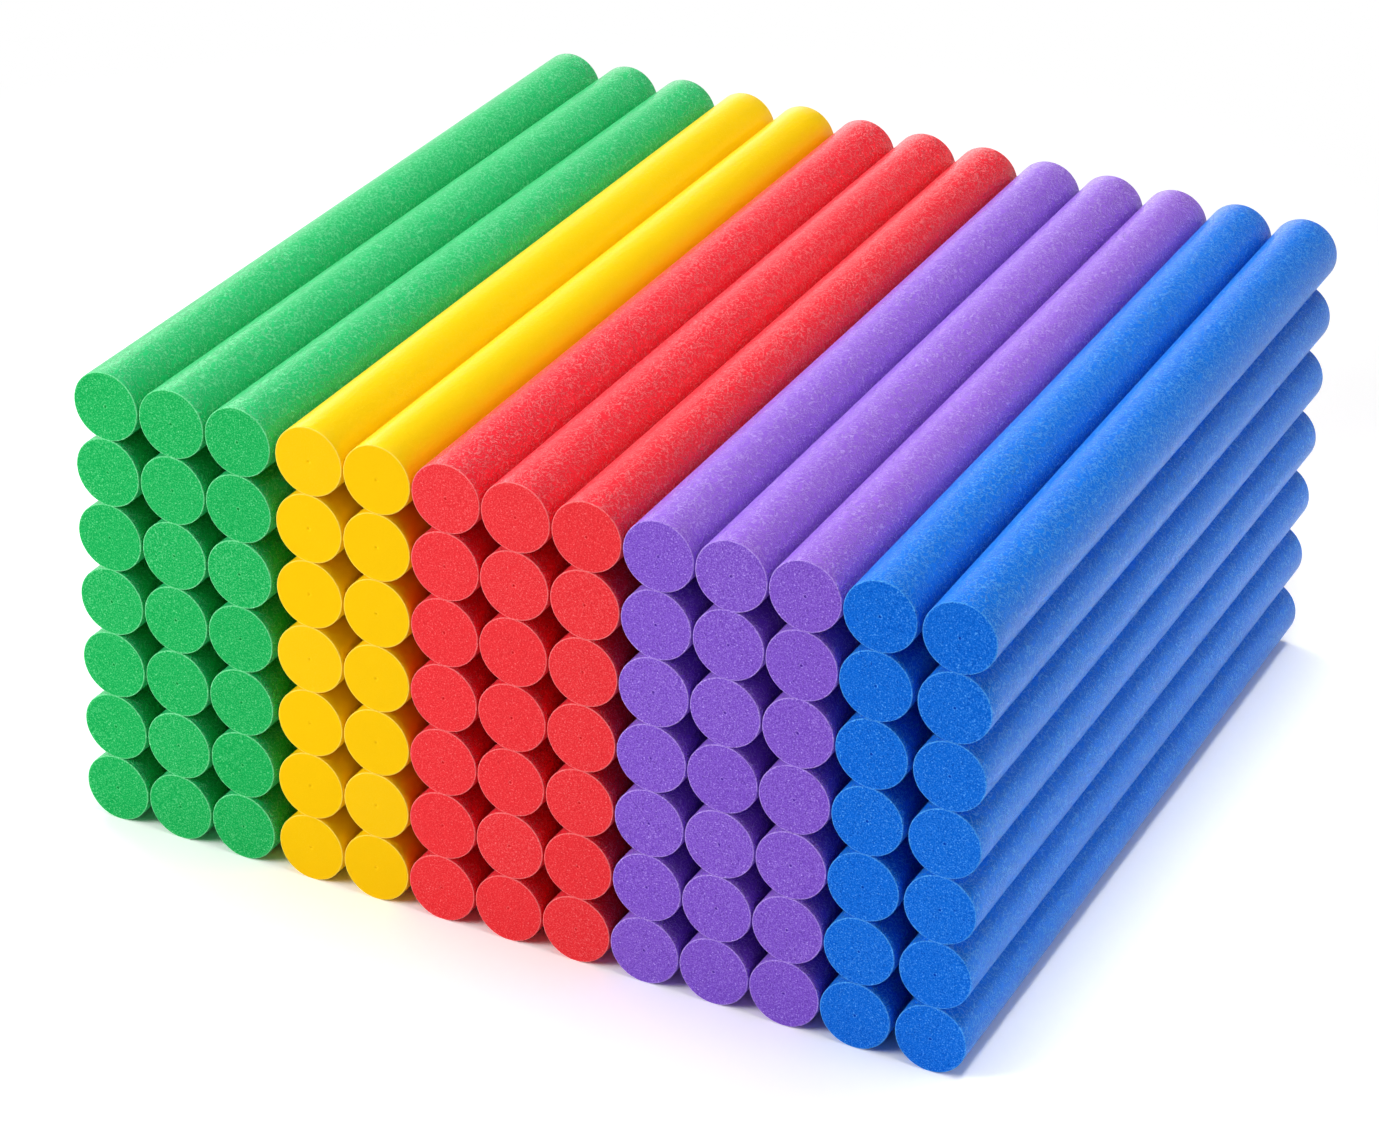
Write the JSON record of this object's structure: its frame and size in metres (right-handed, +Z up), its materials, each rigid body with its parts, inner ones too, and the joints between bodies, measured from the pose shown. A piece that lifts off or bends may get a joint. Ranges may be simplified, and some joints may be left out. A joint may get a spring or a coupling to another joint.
{
  "type": "pool noodle stack",
  "caption": "Square stack of solid foam pool noodles with plain cut ends, laid lengthwise in bands of green, yellow, red, purple and blue; the upper noodles lift off.",
  "frame": {"origin": "on the ground under the middle of the stack", "axes": "+X from the green side to the blue side, +Y along the noodles from the front cut ends to the back ones, +Z up"},
  "size_m": [1.2014, 1.169, 0.624],
  "materials": {
    "green_foam": "matte closed-cell foam, pebbled skin, finer cut ends",
    "yellow_foam": "matte closed-cell foam, pebbled skin, finer cut ends",
    "red_foam": "matte closed-cell foam, pebbled skin, finer cut ends",
    "purple_foam": "matte closed-cell foam, pebbled skin, finer cut ends",
    "blue_foam": "matte closed-cell foam, pebbled skin, finer cut ends"
  },
  "bodies": {
    "root": {"green_noodle_column_01_course_1": "green_foam", "green_base_column_02_courses_1_to_4": "green_foam", "green_base_column_03_courses_1_to_4": "green_foam", "yellow_base_column_04_courses_1_to_4": "yellow_foam", "yellow_base_column_05_courses_1_to_4": "yellow_foam", "red_base_column_06_courses_1_to_4": "red_foam", "red_base_column_07_courses_1_to_4": "red_foam", "red_base_column_08_courses_1_to_4": "red_foam", "purple_base_column_09_courses_1_to_4": "purple_foam", "purple_base_column_10_courses_1_to_4": "purple_foam", "purple_base_column_11_courses_1_to_4": "purple_foam", "blue_base_column_12_courses_1_to_4": "blue_foam", "blue_noodle_column_13_course_1": "blue_foam"},
    "column_01_course_2": {"green_noodle_column_01_course_2": "green_foam"},
    "column_01_course_3": {"green_noodle_column_01_course_3": "green_foam"},
    "column_01_course_4": {"green_noodle_column_01_course_4": "green_foam"},
    "column_01_course_5": {"green_noodle_column_01_course_5": "green_foam"},
    "column_01_course_6": {"green_noodle_column_01_course_6": "green_foam"},
    "column_01_course_7": {"green_noodle_column_01_course_7": "green_foam"},
    "column_02_course_5": {"green_noodle_column_02_course_5": "green_foam"},
    "column_02_course_6": {"green_noodle_column_02_course_6": "green_foam"},
    "column_02_course_7": {"green_noodle_column_02_course_7": "green_foam"},
    "column_03_course_5": {"green_noodle_column_03_course_5": "green_foam"},
    "column_03_course_6": {"green_noodle_column_03_course_6": "green_foam"},
    "column_03_course_7": {"green_noodle_column_03_course_7": "green_foam"},
    "column_04_course_5": {"yellow_noodle_column_04_course_5": "yellow_foam"},
    "column_04_course_6": {"yellow_noodle_column_04_course_6": "yellow_foam"},
    "column_04_course_7": {"yellow_noodle_column_04_course_7": "yellow_foam"},
    "column_05_course_5": {"yellow_noodle_column_05_course_5": "yellow_foam"},
    "column_05_course_6": {"yellow_noodle_column_05_course_6": "yellow_foam"},
    "column_05_course_7": {"yellow_noodle_column_05_course_7": "yellow_foam"},
    "column_06_course_5": {"red_noodle_column_06_course_5": "red_foam"},
    "column_06_course_6": {"red_noodle_column_06_course_6": "red_foam"},
    "column_06_course_7": {"red_noodle_column_06_course_7": "red_foam"},
    "column_07_course_5": {"red_noodle_column_07_course_5": "red_foam"},
    "column_07_course_6": {"red_noodle_column_07_course_6": "red_foam"},
    "column_07_course_7": {"red_noodle_column_07_course_7": "red_foam"},
    "column_08_course_5": {"red_noodle_column_08_course_5": "red_foam"},
    "column_08_course_6": {"red_noodle_column_08_course_6": "red_foam"},
    "column_08_course_7": {"red_noodle_column_08_course_7": "red_foam"},
    "column_09_course_5": {"purple_noodle_column_09_course_5": "purple_foam"},
    "column_09_course_6": {"purple_noodle_column_09_course_6": "purple_foam"},
    "column_09_course_7": {"purple_noodle_column_09_course_7": "purple_foam"},
    "column_10_course_5": {"purple_noodle_column_10_course_5": "purple_foam"},
    "column_10_course_6": {"purple_noodle_column_10_course_6": "purple_foam"},
    "column_10_course_7": {"purple_noodle_column_10_course_7": "purple_foam"},
    "column_11_course_5": {"purple_noodle_column_11_course_5": "purple_foam"},
    "column_11_course_6": {"purple_noodle_column_11_course_6": "purple_foam"},
    "column_11_course_7": {"purple_noodle_column_11_course_7": "purple_foam"},
    "column_12_course_5": {"blue_noodle_column_12_course_5": "blue_foam"},
    "column_12_course_6": {"blue_noodle_column_12_course_6": "blue_foam"},
    "column_12_course_7": {"blue_noodle_column_12_course_7": "blue_foam"},
    "column_13_course_2": {"blue_noodle_column_13_course_2": "blue_foam"},
    "column_13_course_3": {"blue_noodle_column_13_course_3": "blue_foam"},
    "column_13_course_4": {"blue_noodle_column_13_course_4": "blue_foam"},
    "column_13_course_5": {"blue_noodle_column_13_course_5": "blue_foam"},
    "column_13_course_6": {"blue_noodle_column_13_course_6": "blue_foam"},
    "column_13_course_7": {"blue_noodle_column_13_course_7": "blue_foam"}
  },
  "joints": [
    {"name": "lift_column_01_course_7", "type": "slide", "parent": "column_01_course_6", "child": "column_01_course_7", "axis": [0, 0, 1], "range_m": [0, 0.1]},
    {"name": "lift_column_02_course_7", "type": "slide", "parent": "column_02_course_6", "child": "column_02_course_7", "axis": [0, 0, 1], "range_m": [0, 0.1]},
    {"name": "lift_column_03_course_7", "type": "slide", "parent": "column_03_course_6", "child": "column_03_course_7", "axis": [0, 0, 1], "range_m": [0, 0.1]},
    {"name": "lift_column_04_course_7", "type": "slide", "parent": "column_04_course_6", "child": "column_04_course_7", "axis": [0, 0, 1], "range_m": [0, 0.1]},
    {"name": "lift_column_05_course_7", "type": "slide", "parent": "column_05_course_6", "child": "column_05_course_7", "axis": [0, 0, 1], "range_m": [0, 0.1]},
    {"name": "lift_column_06_course_7", "type": "slide", "parent": "column_06_course_6", "child": "column_06_course_7", "axis": [0, 0, 1], "range_m": [0, 0.1]},
    {"name": "lift_column_07_course_7", "type": "slide", "parent": "column_07_course_6", "child": "column_07_course_7", "axis": [0, 0, 1], "range_m": [0, 0.1]},
    {"name": "lift_column_08_course_7", "type": "slide", "parent": "column_08_course_6", "child": "column_08_course_7", "axis": [0, 0, 1], "range_m": [0, 0.1]},
    {"name": "lift_column_09_course_7", "type": "slide", "parent": "column_09_course_6", "child": "column_09_course_7", "axis": [0, 0, 1], "range_m": [0, 0.1]},
    {"name": "lift_column_10_course_7", "type": "slide", "parent": "column_10_course_6", "child": "column_10_course_7", "axis": [0, 0, 1], "range_m": [0, 0.1]},
    {"name": "lift_column_11_course_7", "type": "slide", "parent": "column_11_course_6", "child": "column_11_course_7", "axis": [0, 0, 1], "range_m": [0, 0.1]},
    {"name": "lift_column_12_course_7", "type": "slide", "parent": "column_12_course_6", "child": "column_12_course_7", "axis": [0, 0, 1], "range_m": [0, 0.1]},
    {"name": "lift_column_13_course_7", "type": "slide", "parent": "column_13_course_6", "child": "column_13_course_7", "axis": [0, 0, 1], "range_m": [0, 0.1]},
    {"name": "lift_column_01_course_6", "type": "slide", "parent": "column_01_course_5", "child": "column_01_course_6", "axis": [0, 0, 1], "range_m": [0, 0.1]},
    {"name": "lift_column_02_course_6", "type": "slide", "parent": "column_02_course_5", "child": "column_02_course_6", "axis": [0, 0, 1], "range_m": [0, 0.1]},
    {"name": "lift_column_03_course_6", "type": "slide", "parent": "column_03_course_5", "child": "column_03_course_6", "axis": [0, 0, 1], "range_m": [0, 0.1]},
    {"name": "lift_column_04_course_6", "type": "slide", "parent": "column_04_course_5", "child": "column_04_course_6", "axis": [0, 0, 1], "range_m": [0, 0.1]},
    {"name": "lift_column_05_course_6", "type": "slide", "parent": "column_05_course_5", "child": "column_05_course_6", "axis": [0, 0, 1], "range_m": [0, 0.1]},
    {"name": "lift_column_06_course_6", "type": "slide", "parent": "column_06_course_5", "child": "column_06_course_6", "axis": [0, 0, 1], "range_m": [0, 0.1]},
    {"name": "lift_column_07_course_6", "type": "slide", "parent": "column_07_course_5", "child": "column_07_course_6", "axis": [0, 0, 1], "range_m": [0, 0.1]},
    {"name": "lift_column_08_course_6", "type": "slide", "parent": "column_08_course_5", "child": "column_08_course_6", "axis": [0, 0, 1], "range_m": [0, 0.1]},
    {"name": "lift_column_09_course_6", "type": "slide", "parent": "column_09_course_5", "child": "column_09_course_6", "axis": [0, 0, 1], "range_m": [0, 0.1]},
    {"name": "lift_column_10_course_6", "type": "slide", "parent": "column_10_course_5", "child": "column_10_course_6", "axis": [0, 0, 1], "range_m": [0, 0.1]},
    {"name": "lift_column_11_course_6", "type": "slide", "parent": "column_11_course_5", "child": "column_11_course_6", "axis": [0, 0, 1], "range_m": [0, 0.1]},
    {"name": "lift_column_12_course_6", "type": "slide", "parent": "column_12_course_5", "child": "column_12_course_6", "axis": [0, 0, 1], "range_m": [0, 0.1]},
    {"name": "lift_column_13_course_6", "type": "slide", "parent": "column_13_course_5", "child": "column_13_course_6", "axis": [0, 0, 1], "range_m": [0, 0.1]},
    {"name": "lift_column_01_course_5", "type": "slide", "parent": "column_01_course_4", "child": "column_01_course_5", "axis": [0, 0, 1], "range_m": [0, 0.1]},
    {"name": "lift_column_02_course_5", "type": "slide", "parent": "root", "child": "column_02_course_5", "axis": [0, 0, 1], "range_m": [0, 0.1]},
    {"name": "lift_column_03_course_5", "type": "slide", "parent": "root", "child": "column_03_course_5", "axis": [0, 0, 1], "range_m": [0, 0.1]},
    {"name": "lift_column_04_course_5", "type": "slide", "parent": "root", "child": "column_04_course_5", "axis": [0, 0, 1], "range_m": [0, 0.1]},
    {"name": "lift_column_05_course_5", "type": "slide", "parent": "root", "child": "column_05_course_5", "axis": [0, 0, 1], "range_m": [0, 0.1]},
    {"name": "lift_column_06_course_5", "type": "slide", "parent": "root", "child": "column_06_course_5", "axis": [0, 0, 1], "range_m": [0, 0.1]},
    {"name": "lift_column_07_course_5", "type": "slide", "parent": "root", "child": "column_07_course_5", "axis": [0, 0, 1], "range_m": [0, 0.1]},
    {"name": "lift_column_08_course_5", "type": "slide", "parent": "root", "child": "column_08_course_5", "axis": [0, 0, 1], "range_m": [0, 0.1]},
    {"name": "lift_column_09_course_5", "type": "slide", "parent": "root", "child": "column_09_course_5", "axis": [0, 0, 1], "range_m": [0, 0.1]},
    {"name": "lift_column_10_course_5", "type": "slide", "parent": "root", "child": "column_10_course_5", "axis": [0, 0, 1], "range_m": [0, 0.1]},
    {"name": "lift_column_11_course_5", "type": "slide", "parent": "root", "child": "column_11_course_5", "axis": [0, 0, 1], "range_m": [0, 0.1]},
    {"name": "lift_column_12_course_5", "type": "slide", "parent": "root", "child": "column_12_course_5", "axis": [0, 0, 1], "range_m": [0, 0.1]},
    {"name": "lift_column_13_course_5", "type": "slide", "parent": "column_13_course_4", "child": "column_13_course_5", "axis": [0, 0, 1], "range_m": [0, 0.1]},
    {"name": "lift_column_01_course_4", "type": "slide", "parent": "column_01_course_3", "child": "column_01_course_4", "axis": [0, 0, 1], "range_m": [0, 0.1]},
    {"name": "lift_column_13_course_4", "type": "slide", "parent": "column_13_course_3", "child": "column_13_course_4", "axis": [0, 0, 1], "range_m": [0, 0.1]},
    {"name": "lift_column_01_course_3", "type": "slide", "parent": "column_01_course_2", "child": "column_01_course_3", "axis": [0, 0, 1], "range_m": [0, 0.1]},
    {"name": "lift_column_13_course_3", "type": "slide", "parent": "column_13_course_2", "child": "column_13_course_3", "axis": [0, 0, 1], "range_m": [0, 0.1]},
    {"name": "lift_column_01_course_2", "type": "slide", "parent": "root", "child": "column_01_course_2", "axis": [0, 0, 1], "range_m": [0, 0.1]},
    {"name": "lift_column_13_course_2", "type": "slide", "parent": "root", "child": "column_13_course_2", "axis": [0, 0, 1], "range_m": [0, 0.1]}
  ]
}
